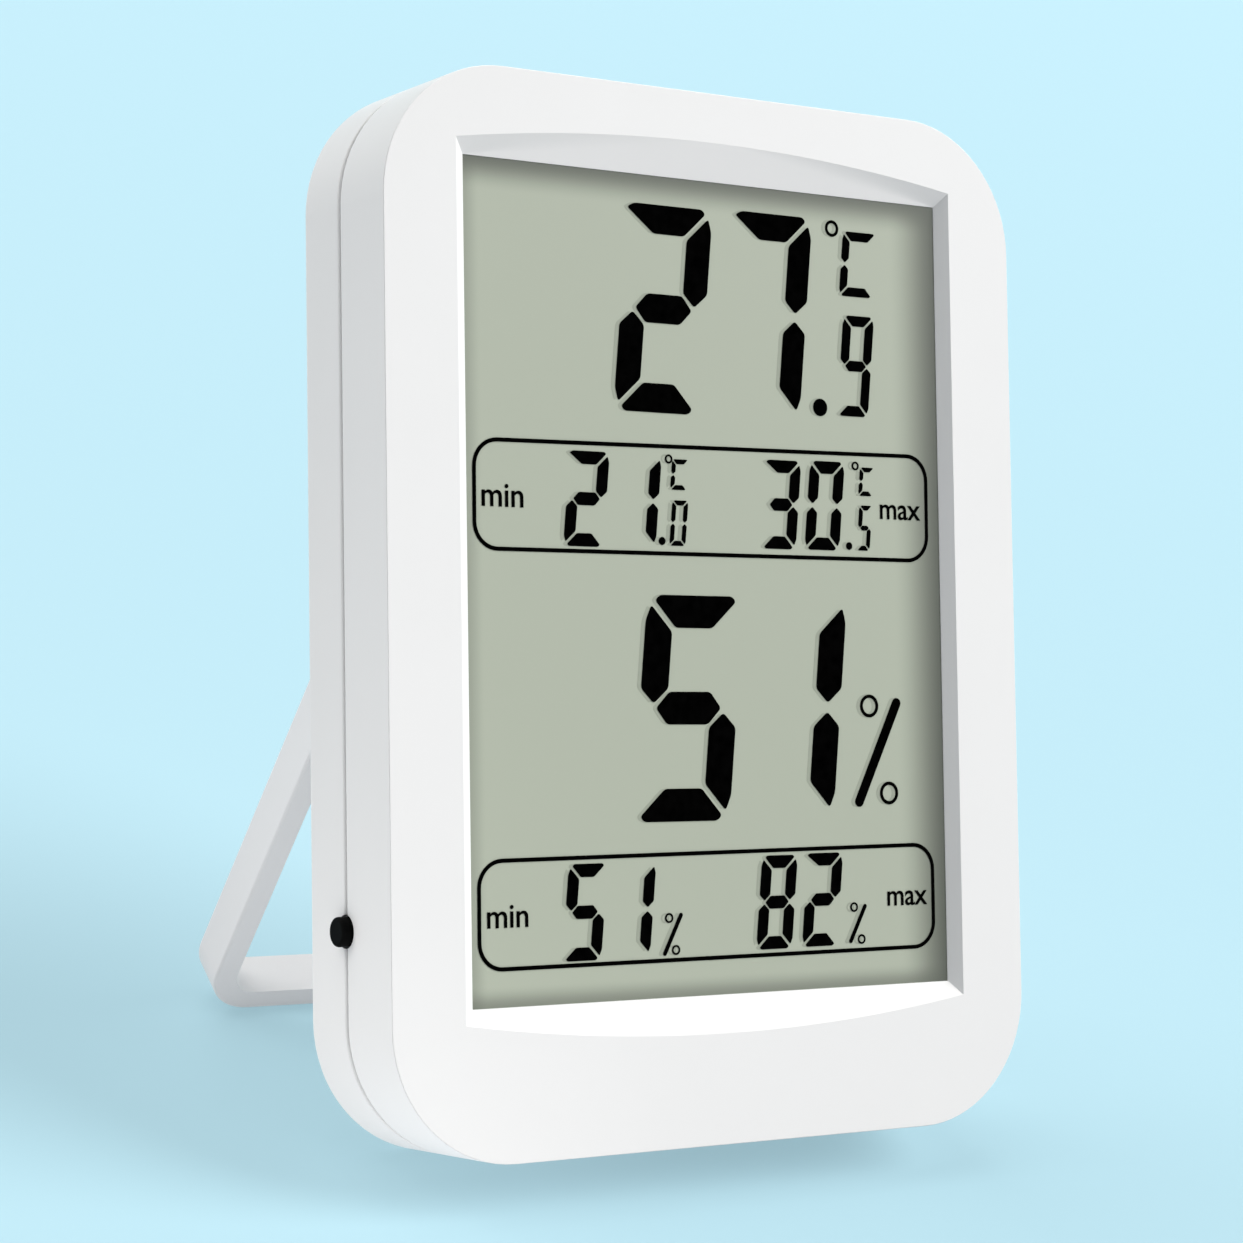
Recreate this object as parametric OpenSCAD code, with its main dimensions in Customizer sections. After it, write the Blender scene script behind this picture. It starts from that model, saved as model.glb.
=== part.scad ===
// Room thermometer and hygrometer: a flat case with a large display,
// one side button, a folding bail stand and a single AAA cell.
// The case is drawn upright: X to the right, Y from the front face to the rear,
// Z up from its bottom face. It is then leaned back onto its open stand.

/* [Case] */
// Width of the case
case_w = 80; // [78:1:100]
// Height of the case
case_h = 110; // [106:1:140]
// Depth of the case from the front face to the rear face
case_d = 17; // [16.6:0.1:24]
// Radius of the four corners of the outline
corner_r = 14; // [11:0.5:16]
// Rounding of the front edge
front_edge_r = 0.1; // [0.1:0.05:1.2]
// Rounding of the rear edge
rear_edge_r = 1; // [0.4:0.1:1.4]
// Thickness of the side walls
side_wall = 1.8; // [1.5:0.1:2.2]
// Thickness of the front wall
front_wall = 1.8; // [1.4:0.1:2.2]
// Thickness of the rear wall
rear_wall = 1.8; // [1.4:0.1:2.2]
// Distance of the parting line in front of the rear face
parting_drop = 7.8; // [7.2:0.1:8.4]
// Width of the shadow gap along the parting line
parting_gap = 0.3; // [0.1:0.05:0.6]
// Rounding of the front half's edge at the parting line
front_seam_r = 0.4; // [0.1:0.05:0.5]
// Rounding of the rear cover's edge at the parting line
rear_seam_r = 0.25; // [0.1:0.05:0.5]
// Height of the locating tongue inside the parting line
tongue_h = 1.3; // [0.8:0.1:2]
// Thickness of the locating tongue
tongue_t = 0.8; // [0.5:0.1:1]

/* [Window] */
// Width of the border at each side of the visible display
side_border = 9.7; // [9:0.1:14]
// Height of the border above the visible display
top_border = 9.2; // [8.8:0.1:14]
// Height of the border below the visible display
bottom_border = 15.4; // [15:0.1:20]
// Depth of the display behind the front face
window_depth = 1.1; // [0.9:0.05:1.3]
// Depth of the straight lip between the slope and the display
window_lip = 0.1; // [0.05:0.05:0.5]
// Width of the sloped edge at the sides
side_slope = 1.35; // [0.6:0.05:2]
// Width of the sloped edge at the top and bottom corners
corner_slope = 1.5; // [0.6:0.05:2]
// Rise of the arched top and bottom edges at their middle
edge_arch = 2.45; // [0.5:0.05:3]

/* [Display] */
// Width of the glass hidden behind the border
glass_margin = 1.6; // [1:0.1:2]
// Width of the contact ledge along the top of the front glass
ledge_w = 2.4; // [2:0.1:3]
// Thickness of each glass plate
glass_t = 0.9; // [0.7:0.05:1]
// Thickness of the polariser film and of the reflector film
film_t = 0.2; // [0.1:0.05:0.3]
// Width of film hidden behind the border
film_margin = 0.8; // [0.5:0.1:1]
// Thickness of the display frame behind the reflector
frame_t = 1.3; // [1:0.1:2]
// Width of the lip of the display frame round the glass
frame_lip = 1; // [0.6:0.1:1.2]
// Width of the frame's ledge behind the visible display
frame_ledge = 1; // [0.5:0.1:2]
// Width of the striped rubber connector
zebra_w = 1.8; // [1.4:0.1:1.9]
// Distance of each end of the connector from the edge of the visible display
zebra_in = 2.3; // [1.5:0.1:8]

/* [Circuit board] */
// Thickness of the board
board_t = 1; // [0.8:0.1:1.6]
// Gap between the edge of the board and the side wall
board_gap = 0.8; // [0.4:0.1:1.5]
// Height of the board's lower edge above the battery bay
board_rise = 12.2; // [9:0.1:16]
// Distance from the top of the case to the board's shoulders
board_drop = 18.5; // [18:0.1:24]
// How far the board's tongue reaches past each end of the connector
board_tongue_past = 2; // [1:0.1:3]
// Distance of the board screws from the lower edge and the shoulders
board_screw_in = 5; // [4:0.1:8]
// Diameter of the board's screw bosses
board_boss_d = 4.4; // [4:0.1:4.8]
// Diameter of the board screws
board_screw_d = 1.7; // [1.4:0.1:2]
// Diameter of the board screw heads
board_screw_head_d = 3.2; // [2.8:0.1:3.6]
// Height of the board screw heads
board_screw_head_h = 1.1; // [0.8:0.1:1.4]
// Distance of the sensor and of the vents below the top of the case
sensor_drop = 42; // [36:0.5:46]
// Width, height off the board and length of the sensor
sensor_size = [3, 1.1, 3]; // [0.5:0.1:5]
// Diameter of the sensor's air port
port_d = 1.2; // [0.6:0.1:2]
// Diameter of the resin drop over the controller
blob_d = 10; // [6:0.5:14]
// Height of the resin drop
blob_h = 1.6; // [1:0.1:2.4]
// Distance of the resin drop and of the crystal from the board's left edge
blob_in = 20.4; // [12:0.1:24]
// Height of the resin drop above the sensor
blob_rise = 7; // [6:0.5:9]
// Diameter of the watch crystal
crystal_d = 2; // [1.5:0.1:3]
// Length of the watch crystal
crystal_l = 6; // [5:0.1:8]
// Distance of the crystal's wire end below the sensor
crystal_fall = 5; // [2:0.5:6]
// Diameter of the crystal's wires
crystal_wire_d = 0.35; // [0.2:0.05:0.5]
// Length of the crystal's wires along the board
crystal_wire_l = 2; // [1:0.1:3]
// Distance of the crystal's wires from each other
crystal_wire_pitch = 0.8; // [0.6:0.1:1.2]
// Length, height off the board and width of a chip capacitor
chip_size = [1.6, 0.7, 0.8]; // [0.4:0.1:3]
// Chip capacitors in each row
chip_count = 4; // [2:1:5]
// Distance between chip capacitors in a row
chip_pitch = 4; // [2.5:0.1:4.5]
// Distance of the last chip capacitor from the board's right edge
chip_in = 10.8; // [8:0.1:12]
// Distance of each row above or below the sensor
chip_row = 6; // [3:0.5:8]

/* [Side button] */
// Diameter of the button's cap
cap_d = 3; // [2.8:0.1:4]
// How far the cap stands out from the side wall
cap_proud = 1.1; // [0.6:0.1:1.6]
// Height of the button above the bottom of the case
button_z = 23.2; // [20:0.1:30]
// Rounding of the cap's edge
cap_edge_r = 0.3; // [0.2:0.1:0.8]
// Diameter of the button's stem
stem_d = 2.2; // [1.6:0.1:2.4]
// Travel of the button
button_travel = 0.4; // [0.2:0.05:0.6]
// Gap all round the cap in its hole
cap_gap = 0.2; // [0.1:0.05:0.3]
// Thickness of the flange that keeps the button in
flange_t = 0.8; // [0.6:0.1:1]
// Width of the flange on each side of the cap's hole
flange_reach = 0.85; // [0.5:0.05:1.2]
// Depth of the switch body behind its plunger
switch_t = 3.6; // [3:0.1:4]
// Width of the switch body
switch_w = 6; // [5:0.1:7]
// Height of the switch body above its plunger
switch_cap = 0.6; // [0.4:0.1:1]
// Diameter of the switch's plunger
plunger_d = 2.4; // [2:0.1:3]
// How far the plunger stands out of the switch
plunger_l = 1.6; // [1:0.1:2]
// How far the plunger reaches into the switch
plunger_depth = 1; // [0.6:0.1:1.6]
// Gap all round the plunger in the switch
plunger_gap = 0.08; // [0.05:0.01:0.1]
// Width of the board round the switch
switch_border = 1.2; // [0.8:0.1:2]
// Distance of the switch from the side of the case
switch_in = 6.6; // [6.2:0.1:7.4]

/* [Bail stand] */
// Distance of the folded stand from the sides and the bottom of the case
bail_inset = 3.1; // [2.6:0.1:4]
// Thickness of the strip
strip_t = 2.6; // [2:0.1:3.2]
// Width of the strip
strip_w = 5.4; // [4.6:0.1:5.8]
// Outer radius of the stand's two corners
bail_r = 5.6; // [4:0.1:7]
// Rounding of the outer edges of the strip
foot_r = 0.35; // [0.2:0.05:0.8]
// Height of the hinge above the bottom of the case
hinge_z = 47.4; // [42:0.1:56]
// Angle of the open stand from the rear face
open_angle = 42.9; // [36:0.1:50]
// Diameter of the hinge pins
pin_d = 2.4; // [1.8:0.1:2.8]
// Length of the hinge pins
pin_l = 2.2; // [1.5:0.1:2.8]
// Radial clearance of the hinge pins
pin_gap = 0.05; // [0.02:0.01:0.1]
// Radius of the rounded heel above the hinge
heel_r = 4.2; // [3.6:0.1:4.6]
// Gap between the folded stand and the rear face, and between its legs and the lugs
bail_gap = 0.3; // [0.2:0.05:0.5]
// Gap between the open stand's heel and the rear face that stops it
stop_gap = 0.05; // [0.02:0.01:0.1]
// Plastic left behind the pin holes in the lugs
lug_wall = 1.4; // [1:0.1:2]
// Height of the lugs, and diameter of their round ends
lug_d = 5; // [4.4:0.1:5.4]

/* [Battery] */
// Gap between the battery bay and the display, which sets the diameter of the cell
bay_gap = 0.275; // [0.2:0.025:0.6]
// Room between the leads and the switch, which sets the length of the cell
lead_room = 1.6; // [1.2:0.1:2.4]
// Height of the cell's axis above the bottom of the case
cell_z = 25; // [24:0.1:30]
// Gap between the cell and the bay
cell_gap = 0.35; // [0.2:0.05:0.6]
// Thickness of the bay's walls
bay_wall = 1.2; // [0.9:0.1:1.5]
// Thickness of the bay's floor
bay_floor_t = 0.9; // [0.7:0.05:1]
// Length of the spring between its plate and the cell
spring_l = 4.9; // [4:0.1:7]
// Diameter of the spring's wire
spring_wire_d = 0.7; // [0.5:0.05:0.8]
// Turns of the spring
spring_turns = 3.5; // [3:0.5:4]
// Thickness of the contact plates
contact_t = 0.4; // [0.3:0.05:0.5]
// Height of the dimple on the positive contact
dimple_h = 0.6; // [0.4:0.1:1]
// Distance of the dimple's edge inside the edge of the cell's nub
dimple_in = 0.5; // [0.3:0.1:1]
// How far the battery door laps over each end of the bay
door_end_lap = 3.6; // [2.6:0.1:4.6]
// How far the battery door laps over each side of the bay
door_side_lap = 2.9; // [2.4:0.1:4]
// Thickness of the battery door
door_t = 1.5; // [1.2:0.1:1.5]
// Gap round the battery door
door_gap = 0.25; // [0.15:0.05:0.4]
// Corner radius of the battery door
door_corner_r = 2; // [1:0.5:3]
// Length of the door's grip ribs
rib_l = 36; // [20:1:42]
// Height of the door's grip ribs
rib_h = 1.9; // [1:0.1:2.2]
// Thickness of the door's grip ribs
rib_t = 0.8; // [0.6:0.1:0.9]
// Width of the nail scoop beside the door
scoop_w = 12; // [8:1:16]
// Diameter of the nail scoop's round floor
scoop_d = 16; // [10:1:20]
// Depth of the nail scoop
scoop_depth = 1.1; // [0.8:0.05:1.2]
// Diameter of the cell's positive nub
nub_d = 3.8; // [3.6:0.1:4]
// Length of the cell's positive nub
nub_l = 0.8; // [0.6:0.1:1]
// Rounding of the cell's ends
cell_edge_r = 0.4; // [0.2:0.1:0.8]
// Radius of the spring's wide end
spring_base_r = 4; // [3.6:0.1:4.6]
// Radius of the spring's narrow end
spring_tip_r = 2.2; // [1.8:0.1:2.6]
// Width of the contact tabs
tab_w = 3; // [2:0.1:4]
// How far the contact tabs reach out of the bay
tab_l = 2.6; // [2.4:0.1:3]
// Distance of the contact tabs in front of the cell's axis
tab_drop = 2.4; // [1.6:0.1:3]
// Diameter of the battery leads over their insulation
lead_d = 1.2; // [0.8:0.1:1.4]
// Radius of the bend of the leads
lead_bend = 1.6; // [1.2:0.1:2]
// Gap between the leads and the bay
lead_gap = 0.4; // [0.2:0.1:0.8]
// Distance of the lead pads above the board's lower edge
lead_pad = 3; // [2:0.1:4]

/* [Fasteners and hanger] */
// Diameter of the case screws
screw_d = 2; // [1.6:0.1:2.2]
// Diameter of the case screw heads
screw_head_d = 3.8; // [3.4:0.1:4]
// Height of the screw heads
screw_head_h = 1.4; // [1:0.1:1.6]
// Length of the cross recess in a screw head
drive_l = 2.2; // [1.6:0.1:2.4]
// Width of the cross recess
drive_w = 0.6; // [0.4:0.1:0.8]
// Depth of the cross recess
drive_depth = 0.7; // [0.4:0.1:0.8]
// Clearance of the screws in their holes
screw_gap = 0.05; // [0.03:0.01:0.15]
// Depth of the counterbores from the rear face
counterbore = 5.5; // [4:0.1:6]
// Gap round the screw heads in the counterbores
counterbore_gap = 0.4; // [0.2:0.05:0.5]
// Wall of the screw posts round the counterbores
post_wall = 1; // [0.8:0.1:1.2]
// Plastic left in front of the screw tips
screw_tip_gap = 1.6; // [1:0.1:2.5]
// Diameter of the front case's screw bosses
boss_d = 4.6; // [4.2:0.1:4.8]
// Distance of the lower screws from the sides of the case
lower_screw_in = 16; // [14:0.5:20]
// Height of the lower screws above the bottom of the case
lower_screw_z = 10.4; // [10:0.1:10.8]
// Distance of the upper screws from the top of the case
upper_screw_drop = 15; // [14:0.5:15.5]
// Diameter of the keyhole's entry
hook_entry_d = 8; // [7:0.1:9]
// Width of the keyhole's slot
hook_slot_w = 4.2; // [3:0.1:4.4]
// Length of the slot above the entry's centre
hook_rise = 7; // [6:0.1:8]
// Distance of the entry's centre from the top of the case
hook_drop = 20; // [18:0.5:24]
// Depth of the pocket for the hanging screw's head
hook_depth = 3.6; // [3:0.1:4]
// Thickness of the pocket's walls
hook_wall = 0.8; // [0.6:0.1:1.2]
// Room round the keyhole inside the pocket
hook_room = 0.5; // [0.2:0.1:1]
// Corner radius of the pocket
hook_r = 2; // [1:0.5:3]
// Number of vent slots
vent_count = 7; // [3:2:9]
// Width of a vent slot
vent_w = 1.3; // [0.8:0.1:1.6]
// Length of a vent slot
vent_l = 11; // [8:0.5:14]
// Distance between vent slots
vent_pitch = 3; // [2.4:0.1:3.4]

/* [Hidden] */
$fn = 64;

// Overlap of moulded features that are one piece of plastic
knit = 0.3;
// Clearance of pieces that drop into a pocket
seat_gap = 0.2;
// Reach of a cut past the surface that it opens
past = 1;
// Thickness of the two outlines that a sloped cut spans
sheet_t = 0.02;

// Depths from the front face
parting_y = case_d - parting_drop;
front_end_y = parting_y - parting_gap / 2;
rear_start_y = parting_y + parting_gap / 2;
film_y = window_depth;
front_glass_y = film_y + film_t;
rear_glass_y = front_glass_y + glass_t;
reflector_y = rear_glass_y + glass_t;
frame_y = reflector_y + film_t;
board_y = frame_y + frame_t;
board_back_y = board_y + board_t;
inner_rear_y = case_d - rear_wall;

// Display outline
view_x = case_w / 2 - side_border;
view_z0 = bottom_border;
view_z1 = case_h - top_border;
glass_x = view_x + glass_margin;
glass_z0 = view_z0 - glass_margin;
glass_z1 = view_z1 + ledge_w + seat_gap;
zebra_z = glass_z1 - ledge_w / 2;
zebra_l = 2 * (view_x - zebra_in);

// Bail stand
bail_outer_x = case_w / 2 - bail_inset;
bail_inner_x = bail_outer_x - strip_t;
hinge_y = case_d + bail_gap + strip_w / 2;
bail_top_z = hinge_z + 2 * heel_r;
lug_outer_x = bail_inner_x - bail_gap;
pin_hole_x = bail_inner_x - pin_l - bail_gap;
lug_inner_x = pin_hole_x - lug_wall;
stop_r = hinge_y - case_d - stop_gap;

// Side button and its switch
flange_x = case_w / 2 - side_wall - seat_gap;
flange_d = cap_d + 2 * cap_gap + 2 * flange_reach;
switch_x = case_w / 2 - switch_in;
switch_end_x = switch_x - switch_t;
switch_back_y = parting_y + plunger_d / 2 + switch_cap;
plunger_x = switch_x + plunger_l;

// Battery bay: the cell fills the room between the display and the door
cell_d = case_d - door_t - 1.5 * cell_gap - bay_floor_t - bay_gap - frame_y;
cell_y = case_d - door_t - cell_gap - cell_d / 2;
bay_y = cell_y - cell_d / 2 - cell_gap / 2;
bay_h = cell_d + 2 * cell_gap;
bay_x = switch_end_x - lead_room - lead_d - lead_gap - bay_wall;
cell_end_x = bay_x - contact_t - dimple_h;
cell_foot_x = -bay_x + contact_t + spring_l;
cell_l = cell_end_x - cell_foot_x;
contact_size = bay_h - 2 * seat_gap;
tab_y = cell_y - tab_drop;
lead_x = bay_x + bay_wall + lead_gap + lead_d / 2;
lead_y = tab_y + contact_t + lead_d / 2;
rib_z = bay_h / 2 - door_gap - rib_t / 2;
door_l = 2 * (bay_x + door_end_lap);
door_h = bay_h + 2 * door_side_lap;

// Circuit board
board_x = case_w / 2 - side_wall - board_gap;
board_z0 = cell_z + bay_h / 2 + bay_wall + board_rise;
board_z1 = case_h - board_drop;
board_tongue_x = zebra_l / 2 + board_tongue_past;
board_tongue_z = glass_z1 + seat_gap;
board_screw_x = board_x - board_boss_d / 2;
board_screw_zs = [board_z0 + board_screw_in, board_z1 - board_screw_in];
arm_end_x = switch_end_x - switch_border;
arm_z = button_z - switch_w / 2 - switch_border;
lead_end_z = board_z0 + lead_pad;
sensor_z = case_h - sensor_drop;
blob_x = -board_x + blob_in;
blob_z = sensor_z + blob_rise;
crystal_z = sensor_z - crystal_fall;
chip_x = board_x - chip_in - chip_size[0] - (chip_count - 1) * chip_pitch;

// Case screws
upper_screw_x = case_w / 2 - side_wall - boss_d / 2 - board_gap / 2;
upper_screw_z = case_h - upper_screw_drop;
lower_screw_x = case_w / 2 - lower_screw_in;
screw_places = [
  [-upper_screw_x, upper_screw_z], [upper_screw_x, upper_screw_z],
  [-lower_screw_x, lower_screw_z], [lower_screw_x, lower_screw_z]
];
screw_seat_y = case_d - counterbore;
screw_tip_y = front_wall + screw_tip_gap;
counterbore_d = screw_head_d + 2 * counterbore_gap;
post_d = counterbore_d + 2 * post_wall;

// Battery spring, as a six-sided tube
spring_rings = 8;
spring_sides = 6;
spring_steps = spring_turns * spring_rings;
spring_seat = 0.05;

// Keyhole hanger
hook_z = case_h - hook_drop;
hook_y = inner_rear_y - hook_depth;

// Stance: the rear bottom edge and the stand's foot both touch the floor
bail_l = hinge_z - bail_inset;
foot_y = hinge_y + (bail_l - foot_r) * sin(open_angle) - (strip_w / 2 - foot_r) * cos(open_angle);
foot_z = hinge_z - (bail_l - foot_r) * cos(open_angle) - (strip_w / 2 - foot_r) * sin(open_angle);
edge_y = case_d - rear_edge_r;
edge_z = rear_edge_r;
span = norm([foot_y - edge_y, foot_z - edge_z]);
lean = atan2(foot_z - edge_z, foot_y - edge_y) - asin((foot_r - rear_edge_r) / span);
floor_z = edge_z * cos(lean) - edge_y * sin(lean) - rear_edge_r;
front_reach = front_edge_r * (cos(lean) + sin(lean) - 1);
rear_reach = (case_h - rear_edge_r) * sin(lean) + edge_y * cos(lean) + rear_edge_r;
middle_y = (front_reach + rear_reach) / 2;

// Colours
shell_white = [0.94, 0.94, 0.93];
inner_white = [0.88, 0.88, 0.86];
button_black = [0.07, 0.07, 0.07];
board_green = [0.10, 0.36, 0.18];
steel = [0.72, 0.73, 0.75];
glass_grey = [0.71, 0.74, 0.68];

// Lean the upright case back and put the middle of its footprint at the origin
module placed() {
  translate([0, -middle_y, -floor_z])
    rotate([-lean, 0, 0])
      children();
}

// Extrude an outline drawn in X and Z from depth y0 to depth y1
module panel(y0, y1) {
  translate([0, y1, 0])
    rotate([90, 0, 0])
      linear_extrude(y1 - y0)
        children();
}

// Block between two opposite corners
module block(low, high) {
  translate(low)
    cube(high - low);
}

// Rods along X, Y and Z
module rod_x(x0, x1, d, y, z) {
  translate([x0, y, z])
    rotate([0, 90, 0])
      cylinder(h = x1 - x0, d = d);
}

module rod_y(y0, y1, d, x, z) {
  translate([x, y0, z])
    rotate([-90, 0, 0])
      cylinder(h = y1 - y0, d = d);
}

module rod_z(z0, z1, d, x, y) {
  translate([x, y, z0])
    cylinder(h = z1 - z0, d = d);
}

// Left and right copies
module both_sides() {
  children();
  mirror([1, 0, 0])
    children();
}

// Outline of the case, drawn in by inset
module outline(inset) {
  half = case_w / 2 - corner_r;
  for (x = [-half, half], z = [corner_r, case_h - corner_r])
    translate([x, z])
      circle(r = corner_r - inset);
  translate([-case_w / 2 + inset, corner_r])
    square([case_w - 2 * inset, case_h - 2 * corner_r]);
  translate([-half, inset])
    square([2 * half, case_h - 2 * inset]);
}

// Rectangle with round corners, centred in X on x and in Z on z
module round_rect(w, h, r, x, z) {
  translate([x, z]) {
    for (sx = [-1, 1], sz = [-1, 1])
      translate([sx * (w / 2 - r), sz * (h / 2 - r)])
        circle(r = r);
    square([w, h - 2 * r], center = true);
    square([w - 2 * r, h], center = true);
  }
}

// Section of a rounded block: reach outwards, depth upwards, round outer corners
module edge_profile(reach, y0, y1, front_r, rear_r) {
  translate([0, y0 + front_r])
    square([reach, y1 - y0 - front_r - rear_r]);
  translate([0, y0])
    square([reach - front_r, front_r * 2]);
  translate([0, y1 - 2 * rear_r])
    square([reach - rear_r, rear_r * 2]);
  translate([reach - front_r, y0 + front_r])
    circle(r = front_r);
  translate([reach - rear_r, y1 - rear_r])
    circle(r = rear_r);
}

// Upright slab centred in X, with round corners and round front and rear edges
module rounded_slab(w, z0, z1, r, y0, y1, front_r, rear_r) {
  half = w / 2 - r;
  for (x = [-half, half], z = [z0 + r, z1 - r])
    translate([x, 0, z])
      rotate([-90, 0, 0])
        rotate_extrude()
          edge_profile(r, y0, y1, front_r, rear_r);
  both_sides()
    translate([0, 0, z0 + r])
      linear_extrude(z1 - z0 - 2 * r)
        edge_profile(w / 2, y0, y1, front_r, rear_r);
  translate([0, 0, (z0 + z1) / 2])
    for (turn = [-90, 90])
      rotate([0, turn, 0])
        linear_extrude(2 * half, center = true)
          edge_profile((z1 - z0) / 2, y0, y1, front_r, rear_r);
}

// Hole for the button, half in each shell
module button_hole() {
  rod_x(-case_w / 2 - past, -flange_x, cap_d + 2 * cap_gap, parting_y, button_z);
}

// Height of the arched window edge above its corners
function arch(x, half, rise) =
  let (r = (half * half + rise * rise) / (2 * rise))
  sqrt(r * r - x * x) - (r - rise);

// Window: an arched front edge that slopes in to a straight display edge
module window_cut() {
  half = view_x + side_slope;
  steps = 24;
  xs = [for (i = [0 : steps]) -half + 2 * half * i / steps];
  top = [for (x = xs) [x, view_z1 + corner_slope + arch(x, half, edge_arch)]];
  bottom = [for (x = xs) [-x, view_z0 - corner_slope - arch(x, half, edge_arch)]];
  slope_y = window_depth - window_lip;
  hull() {
    panel(-sheet_t, 0)
      polygon(concat(top, bottom));
    panel(slope_y, slope_y + sheet_t)
      view_outline(0);
  }
  panel(slope_y - sheet_t / 2, front_wall + past)
    view_outline(0);
}

// Visible display, grown by margin
module view_outline(margin) {
  translate([-view_x - margin, view_z0 - margin])
    square([2 * (view_x + margin), view_z1 - view_z0 + 2 * margin]);
}

// Outline of the front glass, grown by margin
module glass_outline(margin) {
  translate([-glass_x - margin, glass_z0 - margin])
    square([2 * (glass_x + margin), glass_z1 - glass_z0 + 2 * margin]);
}

// Front half of the case with its window and screw bosses
module front_bezel() color(shell_white) placed() difference() {
  union() {
    difference() {
      rounded_slab(case_w, 0, case_h, corner_r, 0, front_end_y, front_edge_r, front_seam_r);
      panel(front_wall, parting_y + past)
        outline(side_wall);
      panel(parting_y - tongue_h - seat_gap, parting_y + past)
        outline(side_wall - tongue_t - seat_gap / 2);
    }
    for (p = screw_places)
      rod_y(front_wall - knit, parting_y, boss_d, p[0], p[1]);
    for (x = [-board_screw_x, board_screw_x], z = board_screw_zs)
      rod_y(front_wall - knit, board_y, board_boss_d, x, z);
  }
  window_cut();
  panel(window_depth, front_wall + knit)
    glass_outline(seat_gap);
  for (p = screw_places)
    rod_y(front_wall, parting_y + past, screw_d + 2 * screw_gap, p[0], p[1]);
  for (x = [-board_screw_x, board_screw_x], z = board_screw_zs)
    rod_y(front_wall, board_y + past, board_screw_d + 2 * screw_gap, x, z);
  button_hole();
}

// Lugs behind the rear face that hold the stand's pins
module hinge_lugs() {
  both_sides() {
    rod_x(lug_inner_x, lug_outer_x, lug_d, hinge_y, hinge_z);
    block(
      [lug_inner_x, case_d - knit, hinge_z - lug_d / 2],
      [lug_outer_x, hinge_y, hinge_z + lug_d / 2]
    );
  }
}

// Blind holes in the lugs
module pin_holes() {
  both_sides()
    rod_x(pin_hole_x, bail_inner_x, pin_d + 2 * pin_gap, hinge_y, hinge_z);
}

// Walls of the battery bay and the ledge that carries its door
module bay_walls() {
  block(
    [-bay_x - bay_wall, bay_y - bay_floor_t, cell_z - bay_h / 2 - bay_wall],
    [bay_x + bay_wall, inner_rear_y + knit, cell_z + bay_h / 2 + bay_wall]
  );
  panel(case_d - 2 * door_t, inner_rear_y + knit)
    round_rect(door_l + 2 * bay_wall, door_h + 2 * bay_wall, door_corner_r + bay_wall, 0, cell_z);
}

// Battery bay, the recess of its door, slots for the contact tabs and a nail scoop
module bay_cut() {
  block(
    [-bay_x, bay_y, cell_z - bay_h / 2],
    [bay_x, case_d + past, cell_z + bay_h / 2]
  );
  panel(case_d - door_t, case_d + past)
    round_rect(door_l + 2 * door_gap, door_h + 2 * door_gap, door_corner_r + door_gap, 0, cell_z);
  both_sides()
    block(
      [bay_x - knit, tab_y - seat_gap, cell_z - tab_w / 2 - seat_gap],
      [bay_x + bay_wall + past, tab_y + contact_t + seat_gap, cell_z + tab_w / 2 + seat_gap]
    );
  rod_x(-scoop_w / 2, scoop_w / 2, scoop_d, case_d + scoop_d / 2 - scoop_depth, cell_z + door_h / 2);
}

// Closed pocket behind the keyhole
module hook_box() {
  panel(hook_y - hook_wall, inner_rear_y + knit)
    hook_room_outline(hook_wall);
}

module hook_room_outline(grow) {
  w = hook_entry_d + 2 * hook_room + 2 * grow;
  h = hook_entry_d + hook_rise + 2 * hook_room + 2 * grow;
  round_rect(w, h, hook_r + grow, 0, hook_z + hook_rise / 2);
}

// Keyhole: round entry, slot upwards, room for a screw head behind both
module hook_cut() {
  panel(hook_y, inner_rear_y)
    hook_room_outline(0);
  rod_y(inner_rear_y - past, case_d + past, hook_entry_d, 0, hook_z);
  panel(inner_rear_y - past, case_d + past) {
    translate([-hook_slot_w / 2, hook_z])
      square([hook_slot_w, hook_rise]);
    translate([0, hook_z + hook_rise])
      circle(d = hook_slot_w);
  }
}

// Row of vent slots behind the sensor
module vent_cut() {
  straight = vent_l - vent_w;
  for (i = [0 : vent_count - 1])
    panel(inner_rear_y - past, case_d + past)
      translate([(i - (vent_count - 1) / 2) * vent_pitch, sensor_z]) {
        square([vent_w, straight], center = true);
        for (end = [-straight / 2, straight / 2])
          translate([0, end])
            circle(d = vent_w);
      }
}

// Rear half of the case with the stand's lugs, battery bay, hanger and vents
module rear_cover() color(shell_white) placed() difference() {
  union() {
    difference() {
      rounded_slab(case_w, 0, case_h, corner_r, rear_start_y, case_d, rear_seam_r, rear_edge_r);
      panel(rear_start_y - past, inner_rear_y)
        outline(side_wall);
    }
    panel(parting_y - tongue_h, rear_start_y + past)
      difference() {
        outline(side_wall - tongue_t);
        outline(side_wall);
      }
    for (p = screw_places)
      rod_y(parting_y, inner_rear_y + knit, post_d, p[0], p[1]);
    hinge_lugs();
    bay_walls();
    hook_box();
  }
  pin_holes();
  bay_cut();
  hook_cut();
  vent_cut();
  for (p = screw_places) {
    rod_y(parting_y - past, case_d, screw_d + 2 * screw_gap, p[0], p[1]);
    rod_y(screw_seat_y, case_d + past, counterbore_d, p[0], p[1]);
  }
  button_hole();
}

// Press-in battery door with two ribs that grip the bay
module battery_door() color(shell_white) placed() {
  panel(case_d - door_t, case_d)
    round_rect(door_l, door_h, door_corner_r, 0, cell_z);
  for (side = [-rib_z, rib_z])
    block(
      [-rib_l / 2, case_d - door_t - rib_h, cell_z + side - rib_t / 2],
      [rib_l / 2, case_d - door_t + knit, cell_z + side + rib_t / 2]
    );
}

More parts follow.
